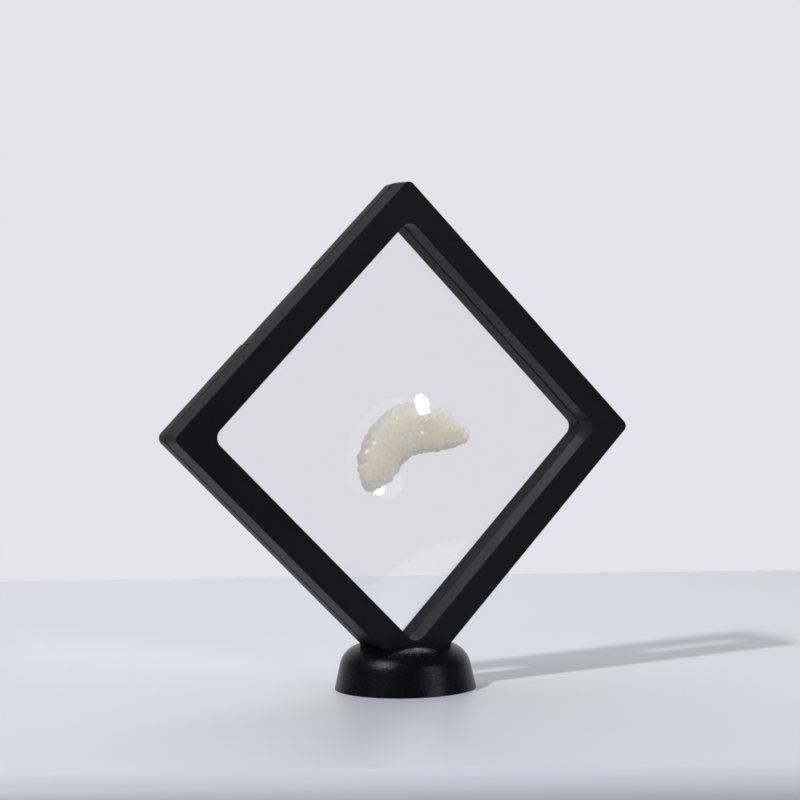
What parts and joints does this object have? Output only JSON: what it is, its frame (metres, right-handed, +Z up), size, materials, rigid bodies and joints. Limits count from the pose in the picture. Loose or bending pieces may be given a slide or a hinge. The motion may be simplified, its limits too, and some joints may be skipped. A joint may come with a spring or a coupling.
{
  "type": "floating picture frame",
  "caption": "Square black floating frame on a round stand: hinged halves hold a pale crystal crescent between clear films, standing on one corner.",
  "frame": {"origin": "under the centre of the stand, on the table", "axes": "+X to the right seen from the front, -Y out of the front window, +Z up"},
  "size_m": [0.1546, 0.044, 0.1569],
  "materials": {
    "stand_plastic": "black moulded plastic, satin sheen",
    "frame_plastic": "black moulded plastic, fine matte texture",
    "ring_plastic": "black moulded plastic, plain",
    "clear_film": "clear stretched elastic film, glossy",
    "crystal": "pale beige grey crystal druse, sparkling",
    "pin_steel": "drawn steel wire"
  },
  "bodies": {
    "stand_base": {"stand": "stand_plastic"},
    "rear_half": {"rear_frame": "frame_plastic", "rear_film_ring": "ring_plastic", "rear_film": "clear_film", "specimen": "crystal", "hinge_pin": "pin_steel"},
    "front_half": {"front_frame": "frame_plastic", "front_film_ring": "ring_plastic", "front_film": "clear_film"}
  },
  "joints": [
    {"name": "frame_lift", "type": "slide", "parent": "stand_base", "child": "rear_half", "axis": [0, 0, 1], "range_m": [0, 0.04]},
    {"name": "front_open", "type": "hinge", "parent": "rear_half", "child": "front_half", "pos_m": [-0.03794, 0.00505, 0.11752], "axis": [-0.7071, 0, -0.7071], "range_deg": [0, 180]}
  ]
}
